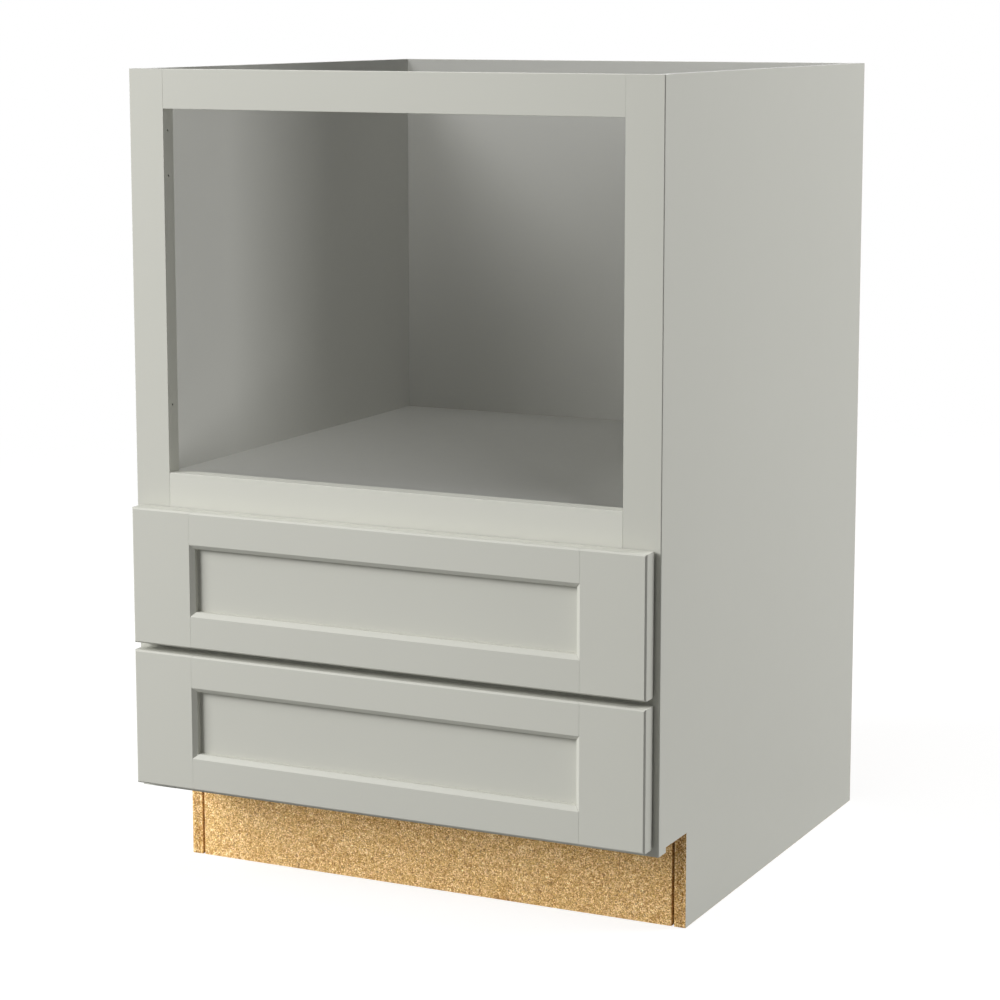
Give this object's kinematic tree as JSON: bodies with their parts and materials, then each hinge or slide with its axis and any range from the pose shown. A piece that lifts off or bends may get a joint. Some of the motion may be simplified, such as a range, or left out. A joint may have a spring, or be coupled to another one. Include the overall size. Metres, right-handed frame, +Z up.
{
  "type": "kitchen base cabinet",
  "caption": "Framed kitchen base cabinet with an open appliance bay and deck over full-overlay drawers on ball-bearing slides, with a recessed toe kick.",
  "frame": {"origin": "centre of the bounding box on the floor, drawer fronts included", "axes": "+Z up; +X to the viewer's right, seen from the front; +Y to the rear, so the drawers open towards -Y"},
  "size_m": [0.6096, 0.6312, 0.8763],
  "materials": {
    "paint": "satin warm grey paint on board",
    "raw_board": "unfinished particleboard",
    "box_wood": "clear satin lacquer on birch",
    "slide_steel": "bright zinc plate",
    "screw_steel": "zinc plate",
    "white_plastic": "moulded, fine texture",
    "bumper_rubber": "soft, translucent white"
  },
  "bodies": {
    "case": {"side_panel_left": "paint", "side_panel_right": "paint", "back_panel": "paint", "hang_rail_top": "raw_board", "hang_rail_bottom": "raw_board", "cabinet_floor": "paint", "appliance_deck": "paint", "toe_kick_board": "raw_board", "toe_blocks": "raw_board", "corner_braces": "raw_board", "stile_left": "paint", "stile_right": "paint", "top_rail": "paint", "opening_rail": "paint", "drawer_rail": "paint", "bottom_rail": "paint", "upper_left_outer_slide": "slide_steel", "upper_right_outer_slide": "slide_steel", "lower_left_outer_slide": "slide_steel", "lower_right_outer_slide": "slide_steel", "rear_slide_brackets": "white_plastic", "slide_mount_screws": "screw_steel"},
    "upper_drawer": {"upper_front_stile_left": "paint", "upper_front_stile_right": "paint", "upper_front_rail_top": "paint", "upper_front_rail_bottom": "paint", "upper_front_panel": "paint", "upper_box_front": "box_wood", "upper_box_back": "box_wood", "upper_box_side_left": "box_wood", "upper_box_side_right": "box_wood", "upper_box_bottom": "box_wood", "upper_left_inner_slide": "slide_steel", "upper_right_inner_slide": "slide_steel", "upper_front_screws": "screw_steel", "upper_slide_screws": "screw_steel", "upper_bumpers": "bumper_rubber"},
    "upper_middle_slides": {"upper_left_middle_slide": "slide_steel", "upper_right_middle_slide": "slide_steel"},
    "upper_outer_cages": {"upper_outer_ball_cages": "slide_steel"},
    "upper_inner_cages": {"upper_inner_ball_cages": "slide_steel"},
    "lower_drawer": {"lower_front_stile_left": "paint", "lower_front_stile_right": "paint", "lower_front_rail_top": "paint", "lower_front_rail_bottom": "paint", "lower_front_panel": "paint", "lower_box_front": "box_wood", "lower_box_back": "box_wood", "lower_box_side_left": "box_wood", "lower_box_side_right": "box_wood", "lower_box_bottom": "box_wood", "lower_left_inner_slide": "slide_steel", "lower_right_inner_slide": "slide_steel", "lower_front_screws": "screw_steel", "lower_slide_screws": "screw_steel", "lower_bumpers": "bumper_rubber"},
    "lower_middle_slides": {"lower_left_middle_slide": "slide_steel", "lower_right_middle_slide": "slide_steel"},
    "lower_outer_cages": {"lower_outer_ball_cages": "slide_steel"},
    "lower_inner_cages": {"lower_inner_ball_cages": "slide_steel"}
  },
  "joints": [
    {"name": "upper_drawer_slide", "type": "slide", "parent": "case", "child": "upper_drawer", "axis": [0, -1, 0], "range_m": [0, 0.5334]},
    {"name": "upper_middle_slides_run", "type": "slide", "parent": "case", "child": "upper_middle_slides", "axis": [0, -1, 0], "range_m": [0, 0.2667]},
    {"name": "upper_outer_cages_run", "type": "slide", "parent": "case", "child": "upper_outer_cages", "axis": [0, -1, 0], "range_m": [0, 0.13335]},
    {"name": "upper_inner_cages_run", "type": "slide", "parent": "case", "child": "upper_inner_cages", "axis": [0, -1, 0], "range_m": [0, 0.40005]},
    {"name": "lower_drawer_slide", "type": "slide", "parent": "case", "child": "lower_drawer", "axis": [0, -1, 0], "range_m": [0, 0.5334]},
    {"name": "lower_middle_slides_run", "type": "slide", "parent": "case", "child": "lower_middle_slides", "axis": [0, -1, 0], "range_m": [0, 0.2667]},
    {"name": "lower_outer_cages_run", "type": "slide", "parent": "case", "child": "lower_outer_cages", "axis": [0, -1, 0], "range_m": [0, 0.13335]},
    {"name": "lower_inner_cages_run", "type": "slide", "parent": "case", "child": "lower_inner_cages", "axis": [0, -1, 0], "range_m": [0, 0.40005]}
  ],
  "couplings": [
    {"joint": "upper_middle_slides_run", "follows": "upper_drawer_slide", "ratio": 0.5},
    {"joint": "upper_outer_cages_run", "follows": "upper_drawer_slide", "ratio": 0.25},
    {"joint": "upper_inner_cages_run", "follows": "upper_drawer_slide", "ratio": 0.75},
    {"joint": "lower_middle_slides_run", "follows": "lower_drawer_slide", "ratio": 0.5},
    {"joint": "lower_outer_cages_run", "follows": "lower_drawer_slide", "ratio": 0.25},
    {"joint": "lower_inner_cages_run", "follows": "lower_drawer_slide", "ratio": 0.75}
  ]
}
